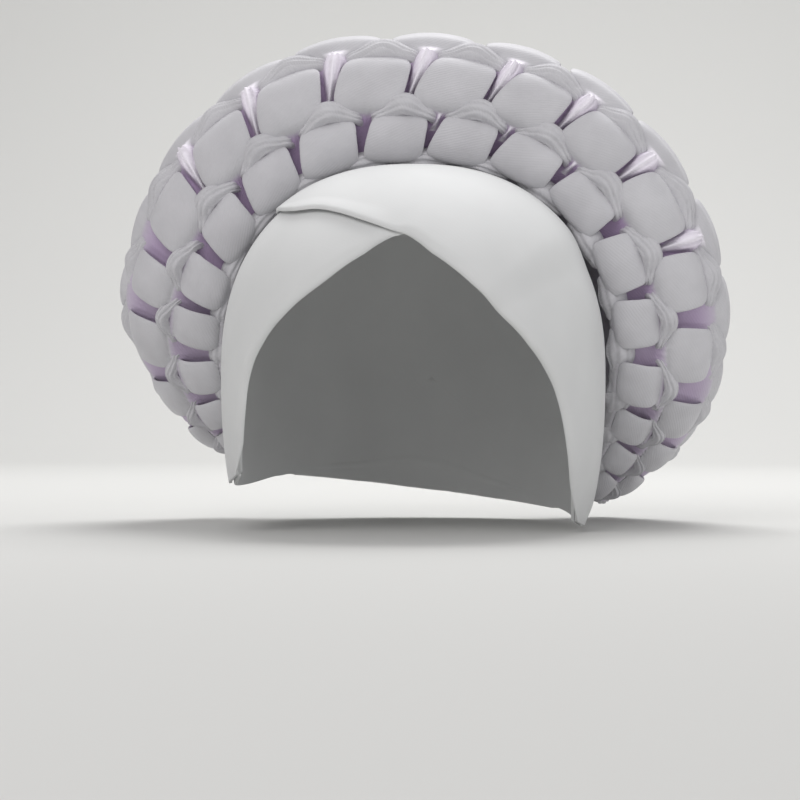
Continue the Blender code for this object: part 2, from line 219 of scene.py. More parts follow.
OUTER_ROW_CLOTH = [
    (0.58, 0.42, 0.28, 0.0, 0.20),
    (0.82, 0.28, 0.32, 0.0, 0.30),
    (1.00, -0.05, 0.36, 0.0, 0.30),
    (1.14, -0.36, 0.40, 0.1, 0.20),
    (1.30, -0.52, 0.48, 0.2, 0.08),
    (1.50, -0.60, 0.54, 0.2, 0.05),
    (1.72, -0.50, 0.48, 0.2, 0.15),
    (1.88, -0.20, 0.32, 0.2, 0.45),
    (1.98, 0.12, 0.36, 0.2, 0.50),
    (2.04, 0.44, 0.62, 0.3, 0.30),
    (2.11, 0.76, 0.79, 0.5, 0.15),
    (2.22, 0.98, 0.85, 0.7, 0.04),
    (2.40, 1.08, 0.84, 0.9, 0.00),
    (2.58, 1.04, 0.80, 0.8, 0.00),
    (2.73, 0.82, 0.74, 0.6, 0.05),
    (2.86, 0.40, 0.60, 0.3, 0.15),
    (3.00, -0.05, 0.48, 0.0, 0.25),
    (3.17, -0.30, 0.52, 0.0, 0.30),
    (3.52, -0.42, 0.58, 0.2, 0.30),
    (3.83, -0.30, 0.50, 0.0, 0.30),
    (4.00, 0.00, 0.30, 0.0, 0.30),
    (4.40, 0.40, 0.30, 0.0, 0.20),
]
STATIONS_PER_BAND = 136
BAND_HALF_THICK = 0.80 * MM
NECK_HALF_THICK = 0.75 * MM
WIDE_SPAN = (0.45, 0.75)      # half widths between a neck and a puff
RING_RADIUS = 95.0 * MM       # how the weave curves along its rings, on average
SQUARENESS = 0.25             # 0: puffs end along the rings, 1: square to their strips
PLEATED_COLUMNS = (-7, 9)     # between these the gathers stand up as fans, with a painted highlight on their upper sides
FAN_SPAN = (2.02, 2.15, 2.98, 3.12)  # places that a fan takes up
FAN_HEIGHT = 5.6 * MM
FAN_START_HEIGHT = 0.35       # share of that at the fan's foot
FAN_RISE_SPAN = (2.10, 2.85)  # places over which it grows to its full height
FAN_START_REACH = 0.20        # how wide it is at the foot, as a share of the band
FAN_REACH_GROWTH = 0.42       # how much wider it is at its top
FAN_REACH_SPAN = (2.15, 2.95)
BRIGHT_TIPS = (1, 3, 5)       # here a small fan, with its painted highlight, also stands under the middle ring band
TIP_SPAN = (1.62, 1.80, 1.93, 2.00)
TIP_HEIGHT = 0.60             # share of a fan's height
LOW_SPAN = (0.0, 0.55)        # levels from a low part up to a puff
# Painted lilac shade: the low parts of the woven bands are painted darker and lilac, standing in for the
# shade of the folds around them
PAINTED_SHADE_DEPTHS = (-0.50, 0.20)    # depths over which the painted lilac shade comes in
PAINTED_SHADE_START = (0.9, 1.1)      # no painted shade before these places, next to the cap
PAINTED_SHADE = 0.90
PAINTED_SHADE_LOSS = 0.28             # less of it at the sides
SIDE_SPAN = (6.0, 12.0)       # columns from the middle where the halo's sides start and are full
SIDE_RISE = 0.42              # the low bands stand this much higher at the halo's sides
SIDE_BREADTH = 0.30           # and are this much wider, in columns
SIDE_SLIMNESS = 0.09          # the puffs are narrower there
RIM_SPAN = (3.12, 3.26, 3.74, 3.88)  # places of the rim's puffs
RIM_LAYERS = 0.13             # layered edges along the rim's puffs, as a share of PUFF_LEVEL
RIM_LAYER_START = 3.14        # place of the first layer
RIM_LAYER_STEP = 0.21         # from one layer to the next, in places

# The four ring bands: node, gathered strands, place, whether they pass over the inner-row bands,
# phase in columns where the arch starts down and where it is fully under; then in mm the height
# at the arch's ends, at its crest and under, the half width over and under, and how far the arch
# bends outwards
RING_CLOTH = [
    ("ring_band_inner", 1.6, 1, False, 0.66, 0.92, 0.6, 2.6, -2.6, 4.2, 2.2, 0.8),
    ("ring_band_middle", 1.5, 2, True, 0.68, 0.93, 1.8, 5.0, -2.6, 4.6, 3.4, 2.5),
    ("ring_band_rim_front", 2.3, 3, False, 0.66, 0.88, 1.8, 4.6, -2.6, 5.4, 3.6, 2.4),
    ("ring_band_rim_back", 2.6, 4, True, 0.46, 0.74, 2.2, 3.6, -3.2, 4.2, 2.4, 0.0),
]
STATIONS_PER_COLUMN = 18
ARCH_TAPER = 0.42             # how much narrower an arch is at its ends than at its crest
MIDDLE_RING = 2               # its place
MIDDLE_RING_SLIMNESS = 0.38   # the middle ring band is narrower at the halo's sides
INNER_RING = 1
INNER_RING_SWELL = 0.45       # the inner one is wider on the right, where the halo stands off
SWELL_SPAN = (3.0, 6.0, 13.0, 16.0)  # columns where it is
RING_HALF_THICK = 0.8 * MM
RING_CROWN = 0.7 * MM
RING_PLEAT = 0.80 * MM        # depth of the gathers on an arch, besides those everywhere
RING_LEAST_PLEAT = 0.15 * MM
RING_BOW = 0.36               # how far an arch's sides hang down, as a share of its half width
# painted lilac shade where a ring band runs under the radial bands
RING_PAINTED_SHADE = 0.35


# Reading the tables
def table(rows, keys, column):
    """Read one column of a table at many keys, along a smooth curve through its rows."""
    keys = np.asarray(keys, float)
    known = np.array([row[0] for row in rows], float)
    values = np.array([row[column] for row in rows], float)
    last = len(known) - 1
    index = np.clip(np.searchsorted(known, keys, side="left") - 1, 0, last - 1)
    before = np.maximum(index - 1, 0)
    after = np.minimum(index + 2, last)
    span = known[index + 1] - known[index]
    share = np.clip((keys - known[index]) / span, 0.0, 1.0)
    slope_in = (values[index + 1] - values[before]) / (known[index + 1] - known[before]) * span
    slope_out = (values[after] - values[index]) / (known[after] - known[index]) * span
    s2 = share * share
    s3 = s2 * share
    return (
        (2 * s3 - 3 * s2 + 1) * values[index]
        + (s3 - 2 * s2 + share) * slope_in
        + (3 * s2 - 2 * s3) * values[index + 1]
        + (s3 - s2) * slope_out
    )


def unit(vectors):
    return vectors / np.maximum(np.linalg.norm(vectors, axis=-1, keepdims=True), 1e-12)


def smooth_step(value, start, end):
    share = np.clip((value - start) / (end - start), 0.0, 1.0)
    return share * share * (3 - 2 * share)


def within(value, span):
    """0 up to span[0], 1 from span[1] to span[2] and 0 from span[3] on, with smooth slopes."""
    return smooth_step(value, span[0], span[1]) * (1 - smooth_step(value, span[2], span[3]))


def at_sides(column):
    return smooth_step(np.abs(column - MIDDLE_COLUMN), *SIDE_SPAN)


def on_head(angle, back, lift):
    """Points on the head form, lifted off it along its own normal."""
    angle, back, lift = np.broadcast_arrays(
        np.asarray(angle, float), np.asarray(back, float), np.asarray(lift, float)
    )
    sine = np.sin(np.radians(angle))
    cosine = np.cos(np.radians(angle))
    half_height = np.where(cosine > 0, CROWN_HEIGHT, NAPE_DROP)
    n = HEAD_FULLNESS
    spread = np.abs(sine / HEAD_HALF_WIDTH) ** n + np.abs(cosine / half_height) ** n
    radius = spread ** (-1 / n) * np.maximum(1.0 - np.abs(back) ** n, 0.0) ** (1 / n)
    point = np.stack((radius * sine, back * HEAD_HALF_DEPTH, radius * cosine), axis=-1)
    size = np.stack(
        (np.full_like(radius, HEAD_HALF_WIDTH), np.full_like(radius, HEAD_HALF_DEPTH), half_height),
        axis=-1,
    )
    normal = unit(np.sign(point) * np.abs(point / size) ** (n - 1) / size)
    point[..., 2] += WIDEST_LEVEL
    return point + normal * lift[..., None]


def seam_point(column):
    return on_head(table(HALO, column, 1), table(HALO, column, 2), SEAM_LIFT)


def weave_base(column, place):
    """Points on the middle surface of the weave; columns lean as they run outwards."""
    column, place = np.broadcast_arrays(np.asarray(column, float), np.asarray(place, float))
    out = table(PROFILE, place, 1) + RIM_BULGE * np.sin(math.pi * np.clip(place - 3, 0, 1)) ** 2
    front = table(PROFILE, place, 2)
    leaned = column + table(HALO, column, 6) * (np.minimum(out, LEAN_LIMIT) - LEAN_PIVOT)
    origin = seam_point(leaned)
    along = unit(seam_point(leaned + 0.2) - seam_point(leaned - 0.2))
    angle = np.radians(table(HALO, leaned, 1))
    lean = np.radians(table(HALO, leaned, 3))
    outward = np.stack(
        (np.sin(angle) * np.cos(lean), np.sin(lean), np.cos(angle) * np.cos(lean)), axis=-1
    )
    forward = unit(np.cross(along, outward))
    width = HALO_WIDTH * table(HALO, leaned, 4)
    depth = table(HALO, leaned, 5)
    reach = (out * width)[..., None]
    ahead = (front * width * depth)[..., None]
    return origin + outward * reach + forward * ahead


def weave_axes(column, place):
    """Unit vectors along the ring bands and out of the weave."""
    run = unit(weave_base(column, place + 0.05) - weave_base(column, place - 0.05))
    along = unit(weave_base(column + 0.1, place) - weave_base(column - 0.1, place))
    return along, unit(np.cross(along, run))


# Nodes and materials
def linear(hex_colour):
    """An sRGB hex value as the linear colour that a shader takes."""
    channels = [int(hex_colour[i : i + 2], 16) / 255 for i in (1, 3, 5)]
    turned = [c / 12.92 if c <= 0.04045 else ((c + 0.055) / 1.055) ** 2.4 for c in channels]
    return (*turned, 1.0)


def add_node(tree, kind, settings=None, inputs=None):
    """Add a node, set its properties, and set or link its inputs."""
    node = tree.nodes.new(kind)
    for name, value in (settings or {}).items():
        setattr(node, name, value)
    for name, value in (inputs or {}).items():
        if isinstance(value, bpy.types.NodeSocket):
            tree.links.new(value, node.inputs[name])
        else:
            node.inputs[name].default_value = value
    return node


def start_material(name):
    material = bpy.data.materials.new(name)
    material.use_nodes = True
    tree = material.node_tree
    tree.nodes.clear()
    return material, tree


# Lengths of one wave of Blender's Wave texture at scale 1, slanting and straight
SLANT_WAVE = 2 * math.pi / (10 * math.sqrt(3))
STRAIGHT_WAVE = 2 * math.pi / 20

# Real sizes of the patterns in the cloth
WALE_SPACING = 1.395 * MM     # wales are 0.45 mm apart, drawn this coarse so that they show
STRETCH_SPACING = 1.083 * MM  # stretch lines are 0.5 mm apart, drawn this coarse so that they show
CAP_FUZZ = 1.111 * MM         # brushed fibre ends
BAND_FUZZ = 1.25 * MM
CAP_CLOUD = 45.45 * MM        # faint unevenness of the white
BAND_CLOUD = 16.67 * MM
PAPER_CLOUD = 0.5
STRETCH_TURN = math.radians(62)      # how the stretch lines slant across a strip


def scuba_knit():
    """Scuba knit: a smooth, dense double-faced polyester jersey, pressed flat over the cap.

    It gives the eye a matte, slightly rubbery white with a soft light edge and almost no grain.
    """
    material, tree = start_material("scuba_knit_white")
    place = add_node(tree, "ShaderNodeTexCoord").outputs["Object"]
    cloud = add_node(
        tree, "ShaderNodeTexNoise", {}, {"Vector": place, "Scale": 1 / CAP_CLOUD, "Detail": 3.0}
    ).outputs["Fac"]
    colour = add_node(tree, "ShaderNodeValToRGB", {}, {"Fac": cloud})
    colour.color_ramp.elements[0].position = 0.30
    colour.color_ramp.elements[0].color = linear("#D5D6D6")
    colour.color_ramp.elements[1].position = 0.72
    colour.color_ramp.elements[1].color = linear("#DDDEDE")
    wales = add_node(
        tree,
        "ShaderNodeTexWave",
        {"wave_type": "BANDS", "bands_direction": "DIAGONAL"},
        {
            "Vector": place,
            "Scale": SLANT_WAVE / WALE_SPACING,
            "Distortion": 1.5,
            "Detail": 2.0,
            "Detail Scale": 3.0,
        },
    ).outputs["Fac"]
    fuzz = add_node(
        tree, "ShaderNodeTexNoise", {}, {"Vector": place, "Scale": 1 / CAP_FUZZ, "Detail": 4.0}
    ).outputs["Fac"]
    grain = add_node(
        tree, "ShaderNodeMix", {"data_type": "FLOAT"}, {0: 0.45, 2: wales, 3: fuzz}
    ).outputs[0]
    bump = add_node(
        tree, "ShaderNodeBump", {}, {"Strength": 0.10, "Distance": 0.12 * MM, "Height": grain}
    ).outputs["Normal"]
    shader = add_node(
        tree,
        "ShaderNodeBsdfPrincipled",
        {},
        {
            "Base Color": colour.outputs["Color"],
            "Roughness": 0.72,
            "IOR": 1.47,
            "Specular IOR Level": 0.30,
            "Sheen Weight": 0.12,
            "Sheen Roughness": 0.45,
            "Normal": bump,
        },
    ).outputs["BSDF"]
    add_node(tree, "ShaderNodeOutputMaterial", {}, {"Surface": shader})
    return material


def band_knit():
    """The same scuba knit cut in strips and folded for the weave.

    Fine slanting lines show where it is stretched over a puff. The low parts are painted a shaded lilac,
    standing in for the shade of the folds around them, and the upper sides of the gathers that stand up
    as fans are painted almost white, a painted highlight standing in for the light on them.
    """
    material, tree = start_material("scuba_knit_woven_strip")
    place = add_node(tree, "ShaderNodeTexCoord").outputs["Object"]
    cloth = add_node(tree, "ShaderNodeAttribute", {"attribute_name": "cloth_place"}).outputs["Vector"]
    painted_lilac_shade = add_node(tree, "ShaderNodeAttribute", {"attribute_name": "painted_lilac_shade"}).outputs["Fac"]
    painted_highlight = add_node(tree, "ShaderNodeAttribute", {"attribute_name": "painted_highlight"}).outputs["Fac"]
    cloud = add_node(
        tree, "ShaderNodeTexNoise", {}, {"Vector": place, "Scale": 1 / BAND_CLOUD, "Detail": 3.0}
    ).outputs["Fac"]
    white = add_node(tree, "ShaderNodeValToRGB", {}, {"Fac": cloud})
    white.color_ramp.elements[0].position = 0.30
    white.color_ramp.elements[0].color = linear("#C3C2C6")
    white.color_ramp.elements[1].position = 0.72
    white.color_ramp.elements[1].color = linear("#CFCED2")
    # painted lilac shade in the low parts of the weave
    mixed = add_node(
        tree,
        "ShaderNodeMix",
        {"data_type": "RGBA"},
        {"Factor": painted_lilac_shade, 6: white.outputs["Color"], 7: linear("#B99FC6")},
    ).outputs[2]
    # painted near-white highlight on the upper side of the fans, standing in for the light on them
    mixed = add_node(
        tree,
        "ShaderNodeMix",
        {"data_type": "RGBA"},
        {"Factor": painted_highlight, 6: mixed, 7: linear("#FBF6FF")},
    ).outputs[2]
    turned = add_node(
        tree, "ShaderNodeMapping", {}, {"Vector": cloth, "Rotation": (0.0, 0.0, STRETCH_TURN)}
    ).outputs["Vector"]
    lines = add_node(
        tree,
        "ShaderNodeTexWave",
        {"wave_type": "BANDS", "bands_direction": "X"},
        {
            "Vector": turned,
            "Scale": STRAIGHT_WAVE / STRETCH_SPACING,
            "Distortion": 2.2,
            "Detail": 2.0,
            "Detail Scale": 1.2,
        },
    ).outputs["Fac"]
    fuzz = add_node(
        tree, "ShaderNodeTexNoise", {}, {"Vector": place, "Scale": 1 / BAND_FUZZ, "Detail": 4.0}
    ).outputs["Fac"]
    grain = add_node(
        tree, "ShaderNodeMix", {"data_type": "FLOAT"}, {0: 0.35, 2: lines, 3: fuzz}
    ).outputs[0]
    bump = add_node(
        tree, "ShaderNodeBump", {}, {"Strength": 0.32, "Distance": 0.22 * MM, "Height": grain}
    ).outputs["Normal"]
    shader = add_node(
        tree,
        "ShaderNodeBsdfPrincipled",
        {},
        {
            "Base Color": mixed,
            "Roughness": 0.66,
            "IOR": 1.47,
            "Specular IOR Level": 0.32,
            "Sheen Weight": 0.15,
            "Sheen Roughness": 0.40,
            "Normal": bump,
        },
    ).outputs["BSDF"]
    add_node(tree, "ShaderNodeOutputMaterial", {}, {"Surface": shader})
    return material


def studio_paper():
    """Matte background paper: an even pale grey with no texture of its own."""
    material, tree = start_material("matte_studio_paper")
    place = add_node(tree, "ShaderNodeTexCoord").outputs["Object"]
    cloud = add_node(
        tree, "ShaderNodeTexNoise", {}, {"Vector": place, "Scale": 1 / PAPER_CLOUD, "Detail": 1.0}
    ).outputs["Fac"]
    colour = add_node(tree, "ShaderNodeValToRGB", {}, {"Fac": cloud})
    colour.color_ramp.elements[0].color = linear("#CECECC")
    colour.color_ramp.elements[1].color = linear("#D2D2D0")
    shader = add_node(
        tree,
        "ShaderNodeBsdfPrincipled",
        {},
        {"Base Color": colour.outputs["Color"], "Roughness": 0.95, "Specular IOR Level": 0.1},
    ).outputs["BSDF"]
    add_node(tree, "ShaderNodeOutputMaterial", {}, {"Surface": shader})
    return material


# The woven band's node tree
WANDER_SCALE = (1.3, 90.0, 0.0)      # how fast the pleats wander across a strip and along it
SIDE_SHARPNESS = 4.0          # a higher power keeps the strip thick nearer to its sides
RIDGE_SHARPNESS = 0.7         # below 1 the gathers get rounder backs
FAN_RIDGES = 0.55             # share of a fan's height that goes into its gathers
SEED_STEP = 7.31              # how far apart the noises of neighbouring seeds lie


def woven_band_tree():
    """Geometry Nodes tree that sweeps a folded, gathered strip along a line of stations."""
    tree = bpy.data.node_groups.new("woven_band", "GeometryNodeTree")
    face = tree.interface
    face.new_socket("Stations", in_out="INPUT", socket_type="NodeSocketGeometry")
    face.new_socket("Points Round", in_out="INPUT", socket_type="NodeSocketInt")
    face.new_socket("Pleats Across", in_out="INPUT", socket_type="NodeSocketFloat")
    face.new_socket("Pleat Wander", in_out="INPUT", socket_type="NodeSocketFloat")
    face.new_socket("Crease Depth", in_out="INPUT", socket_type="NodeSocketFloat")
    face.new_socket("Crease Scale", in_out="INPUT", socket_type="NodeSocketFloat")
    face.new_socket("Seed", in_out="INPUT", socket_type="NodeSocketInt")
    face.new_socket("Cloth", in_out="INPUT", socket_type="NodeSocketMaterial")
    face.new_socket("Strip", in_out="OUTPUT", socket_type="NodeSocketGeometry")
    given = add_node(tree, "NodeGroupInput").outputs

    # the strip's round section, with each point's turn kept as an attribute
    section = add_node(
        tree,
        "GeometryNodeCurvePrimitiveCircle",
        {},
        {"Resolution": given["Points Round"], "Radius": 1.0},
    ).outputs["Curve"]
    turn_share = add_node(tree, "GeometryNodeSplineParameter").outputs["Factor"]
    section = add_node(
        tree,
        "GeometryNodeStoreNamedAttribute",
        {"data_type": "FLOAT", "domain": "POINT"},
        {"Geometry": section, "Name": "turn", "Value": turn_share},
    ).outputs["Geometry"]
    line = add_node(tree, "GeometryNodeMeshToCurve", {}, {"Mesh": given["Stations"]}).outputs["Curve"]
    swept = add_node(
        tree,
        "GeometryNodeCurveToMesh",
        {},
        {"Curve": line, "Profile Curve": section, "Fill Caps": True},
    ).outputs["Mesh"]

    number = {}
    for name in ("turn", "half_thick", "crown", "pleat", "run", "fan", "fan_reach"):
        number[name] = add_node(
            tree, "GeometryNodeInputNamedAttribute", {"data_type": "FLOAT"}, {"Name": name}
        ).outputs["Attribute"]
    for name in ("Pleats Across", "Pleat Wander", "Crease Depth", "Seed"):
        number[name] = given[name]
    arrow = {}
    for name in ("centre", "span", "bow", "upward"):
        arrow[name] = add_node(
            tree, "GeometryNodeInputNamedAttribute", {"data_type": "FLOAT_VECTOR"}, {"Name": name}
        ).outputs["Attribute"]

    # each row makes one number from two others: its name, the operation, what it works on
    section_steps = [
        ("angle", "MULTIPLY", "turn", 2 * math.pi),
        ("cosine", "COSINE", "angle", 0.0),
        ("side", "MULTIPLY", "cosine", -1.0),
        ("rise", "SINE", "angle", 0.0),
        ("facing", "SIGN", "rise", 0.0),
        ("top", "MAXIMUM", "facing", 0.0),
        ("side squared", "MULTIPLY", "side", "side"),
        ("side high", "POWER", "side squared", SIDE_SHARPNESS),
        ("thinning", "SUBTRACT", 1.0, "side high"),
        ("thinning kept", "MAXIMUM", "thinning", 0.0),
        ("fullness", "SQRT", "thinning kept", 0.0),
        ("seed shift", "MULTIPLY", "Seed", SEED_STEP),
    ]
    for name, operation, first, second in section_steps:
        number[name] = add_node(
            tree,
            "ShaderNodeMath",
            {"operation": operation},
            {0: number.get(first, first), 1: number.get(second, second)},
        ).outputs[0]

    # where the pleats wander to along the strip, and soft creases over the puffs
    across_and_along = add_node(
        tree, "ShaderNodeCombineXYZ", {}, {"X": number["side"], "Y": number["run"]}
    ).outputs["Vector"]
    wander_place = add_node(
        tree,
        "ShaderNodeVectorMath",
        {"operation": "MULTIPLY"},
        {0: across_and_along, 1: WANDER_SCALE},
    ).outputs[0]
    number["wander"] = add_node(
        tree,
        "ShaderNodeTexNoise",
        {"noise_dimensions": "4D"},
        {"Vector": wander_place, "W": number["seed shift"], "Scale": 1.0, "Detail": 2.0},
    ).outputs[0]
    sideways = add_node(
        tree,
        "ShaderNodeVectorMath",
        {"operation": "SCALE"},
        {0: arrow["span"], "Scale": number["side"]},
    ).outputs[0]
    flat_place = add_node(
        tree, "ShaderNodeVectorMath", {"operation": "ADD"}, {0: arrow["centre"], 1: sideways}
    ).outputs[0]
    number["crease"] = add_node(
        tree,
        "ShaderNodeTexNoise",
        {"noise_dimensions": "4D"},
        {"Vector": flat_place, "W": number["seed shift"], "Scale": given["Crease Scale"], "Detail": 2.0},
    ).outputs[0]

    # a fan is made of gathers squeezed between two puffs, standing up along the strip's middle
    lift_steps = [
        ("pleat turns", "MULTIPLY", "side", "Pleats Across"),
        ("pleat turn", "MULTIPLY", "pleat turns", math.pi),
        ("wander turn", "MULTIPLY", "wander", "Pleat Wander"),
        ("phase", "ADD", "pleat turn", "wander turn"),
        ("wave", "SINE", "phase", 0.0),
        ("fold", "ABSOLUTE", "wave", 0.0),
        ("ridge", "POWER", "fold", RIDGE_SHARPNESS),
        ("pleats", "MULTIPLY", "pleat", "ridge"),
        ("crease centred", "SUBTRACT", "crease", 0.5),
        ("creases", "MULTIPLY", "crease centred", "Crease Depth"),
        ("folds", "ADD", "pleats", "creases"),
        ("relief", "MULTIPLY", "folds", "fullness"),
        ("dome share", "SUBTRACT", 1.0, "side squared"),
        ("dome", "MULTIPLY", "crown", "dome share"),
        ("fan side", "DIVIDE", "side", "fan_reach"),
        ("fan side squared", "MULTIPLY", "fan side", "fan side"),
        ("fan slope", "SUBTRACT", 1.0, "fan side squared"),
        ("fan shape", "MAXIMUM", "fan slope", 0.0),
        ("fan height", "MULTIPLY", "fan", "fan shape"),
        ("fan pleats", "MULTIPLY", "ridge", FAN_RIDGES),
        ("fan ridge", "ADD", "fan pleats", 1 - FAN_RIDGES),
        ("fan lift", "MULTIPLY", "fan height", "fan ridge"),
        # the painted highlight: the upper side of a fan, marked to be painted near white
        ("gleam shape", "MULTIPLY", "fan shape", "top"),
        ("has fan", "SIGN", "fan", 0.0),
        ("gleam", "MULTIPLY", "gleam shape", "has fan"),
        ("swell", "ADD", "dome", "fan lift"),
        ("swell and relief", "ADD", "swell", "relief"),
        ("above", "MULTIPLY", "top", "swell and relief"),
        ("half shell", "MULTIPLY", "half_thick", "fullness"),
        ("shell", "MULTIPLY", "half shell", "facing"),
        ("lift", "ADD", "shell", "above"),
    ]
    for name, operation, first, second in lift_steps:
        number[name] = add_node(
            tree,
            "ShaderNodeMath",
            {"operation": operation},
            {0: number.get(first, first), 1: number.get(second, second)},
        ).outputs[0]

    bowed = add_node(
        tree,
        "ShaderNodeVectorMath",
        {"operation": "SCALE"},
        {0: arrow["bow"], "Scale": number["side squared"]},
    ).outputs[0]
    raised = add_node(
        tree,
        "ShaderNodeVectorMath",
        {"operation": "SCALE"},
        {0: arrow["upward"], "Scale": number["lift"]},
    ).outputs[0]
    offset = add_node(
        tree, "ShaderNodeVectorMath", {"operation": "ADD"}, {0: bowed, 1: raised}
    ).outputs[0]
    spot = add_node(
        tree, "ShaderNodeVectorMath", {"operation": "ADD"}, {0: flat_place, 1: offset}
    ).outputs[0]
    formed = add_node(
        tree, "GeometryNodeSetPosition", {}, {"Geometry": swept, "Position": spot}
    ).outputs["Geometry"]
    width = add_node(
        tree, "ShaderNodeVectorMath", {"operation": "LENGTH"}, {0: arrow["span"]}
    ).outputs["Value"]
    from_middle = add_node(
        tree, "ShaderNodeMath", {"operation": "MULTIPLY"}, {0: width, 1: number["side"]}
    ).outputs[0]
    cloth_place = add_node(
        tree, "ShaderNodeCombineXYZ", {}, {"X": from_middle, "Y": number["run"]}
    ).outputs["Vector"]
    formed = add_node(
        tree,
        "GeometryNodeStoreNamedAttribute",
        {"data_type": "FLOAT_VECTOR", "domain": "POINT"},
        {"Geometry": formed, "Name": "cloth_place", "Value": cloth_place},
    ).outputs["Geometry"]
    # stores where the painted highlight goes
    formed = add_node(
        tree,
        "GeometryNodeStoreNamedAttribute",
        {"data_type": "FLOAT", "domain": "POINT"},
        {"Geometry": formed, "Name": "painted_highlight", "Value": number["gleam"]},
    ).outputs["Geometry"]
    formed = add_node(tree, "GeometryNodeSetShadeSmooth", {}, {"Geometry": formed}).outputs[0]
    real = add_node(tree, "GeometryNodeRealizeInstances", {}, {"Geometry": formed}).outputs[0]
    dressed = add_node(
        tree, "GeometryNodeSetMaterial", {}, {"Geometry": real, "Material": given["Cloth"]}
    ).outputs[0]
    add_node(tree, "NodeGroupOutput", {}, {"Strip": dressed})
    return tree


def plain_object(name, mesh):
    obj = bpy.data.objects.new(name, mesh)
    bpy.context.scene.collection.objects.link(obj)
    return obj


def outward_faces(mesh):
    """Turn a closed mesh so that its faces point outwards."""
    points = np.zeros(len(mesh.vertices) * 3)
    mesh.vertices.foreach_get("co", points)
    points = points.reshape(-1, 3)
    mesh.calc_loop_triangles()
    corners = np.zeros(len(mesh.loop_triangles) * 3, int)
    mesh.loop_triangles.foreach_get("vertices", corners)
    a, b, c = points[corners.reshape(-1, 3)].transpose(1, 0, 2)
    if float((a * np.cross(b, c)).sum()) < 0:
        mesh.flip_normals()


def weave_strip(name, tree, stations, settings):
    """Run the woven band tree on a line of stations, and keep the result as a plain mesh."""
    count = len(stations["centre"])
    guide_mesh = bpy.data.meshes.new(name + "_stations")
    guide_mesh.from_pydata(
        [Vector(point) for point in stations["centre"]], [(i, i + 1) for i in range(count - 1)], []
    )
    for key, values in stations.items():
        kind = "FLOAT_VECTOR" if np.ndim(values) == 2 else "FLOAT"
        attribute = guide_mesh.attributes.new(key, kind, "POINT")
        field = "vector" if kind == "FLOAT_VECTOR" else "value"
        attribute.data.foreach_set(field, np.asarray(values, np.float32).ravel())
    guide = plain_object(name + "_guide", guide_mesh)
    modifier = guide.modifiers.new("woven band", "NODES")
    modifier.node_group = tree
    identifiers = {item.name: item.identifier for item in tree.interface.items_tree}
    for label, value in settings.items():
        modifier[identifiers[label]] = value
    evaluated = guide.evaluated_get(bpy.context.evaluated_depsgraph_get())
    mesh = bpy.data.meshes.new_from_object(evaluated)
    mesh.name = name
    guide.modifiers.remove(modifier)
    bpy.data.objects.remove(guide, do_unlink=True)
    bpy.data.meshes.remove(guide_mesh)
    # the painted shade attribute stays on the mesh for the material
    for key in ("turn", *stations):
        if key != "painted_lilac_shade" and mesh.attributes.get(key) is not None:
            mesh.attributes.remove(mesh.attributes[key])
    outward_faces(mesh)
    return plain_object(name, mesh)


# Stations of the strips
def band_stations(column, rows, pleated):
    """Stations of one radial band, from under the cap's seam over the front to the back."""
    places = np.linspace(rows[0][0], rows[-1][0], STATIONS_PER_BAND)
    level = table(rows, places, 1)
    half = table(rows, places, 2)
    # how much painted lilac shade a low part gets, more the lower it lies
    recess_shade = smooth_step(-level, *PAINTED_SHADE_DEPTHS) * smooth_step(places, *PAINTED_SHADE_START)
    aside = at_sides(column)
    low = 1 - smooth_step(level, *LOW_SPAN)
    level = level + aside * low * SIDE_RISE
    half = half + aside * (low * SIDE_BREADTH - (1 - low) * SIDE_SLIMNESS)
    on_rim = within(places, RIM_SPAN) * (1 - low)
    layers = np.abs(np.sin(math.pi * (places - RIM_LAYER_START) / RIM_LAYER_STEP))
    level = level + on_rim * RIM_LAYERS * layers
    base = weave_base(column, places)
    along, up = weave_axes(column, places)
    square = unit(np.cross(up, unit(np.gradient(base, axis=0))))
    square *= np.sign(np.sum(square * along, axis=1, keepdims=True))
    across = unit(square * SQUARENESS + along * (1 - SQUARENESS))
    centre = base + up * (level * PUFF_LEVEL)[:, None]
    spacing = np.linalg.norm(
        weave_base(column + 0.5, places) - weave_base(column - 0.5, places), axis=1
    )
    half_width = half * spacing * np.sum(across * along, axis=1)
    tangent = unit(np.gradient(centre, axis=0))
    upward = unit(np.cross(across, tangent))
    steps = np.linalg.norm(np.diff(centre, axis=0), axis=1)
    wide = smooth_step(half, *WIDE_SPAN)
    fan = pleated * within(places, FAN_SPAN)
    fan = fan + TIP_HEIGHT * within(places, TIP_SPAN) * (column in BRIGHT_TIPS)
    fan_rise = (1 - FAN_START_HEIGHT) * smooth_step(places, *FAN_RISE_SPAN)
    fan_growth = FAN_REACH_GROWTH * smooth_step(places, *FAN_REACH_SPAN)
    return {
        "centre": centre,
        "span": across * half_width[:, None],
        "bow": -up * (half_width ** 2 / (2 * RING_RADIUS))[:, None],
        "upward": upward,
        "half_thick": NECK_HALF_THICK + (BAND_HALF_THICK - NECK_HALF_THICK) * wide,
        "crown": table(rows, places, 3) * MM,
        "pleat": table(rows, places, 4) * MM,
        "run": np.concatenate(([0.0], np.cumsum(steps))),
        "painted_lilac_shade": (PAINTED_SHADE - PAINTED_SHADE_LOSS * aside) * recess_shade,
        "fan": fan * FAN_HEIGHT * (FAN_START_HEIGHT + fan_rise),
        "fan_reach": FAN_START_REACH + fan_growth,
    }


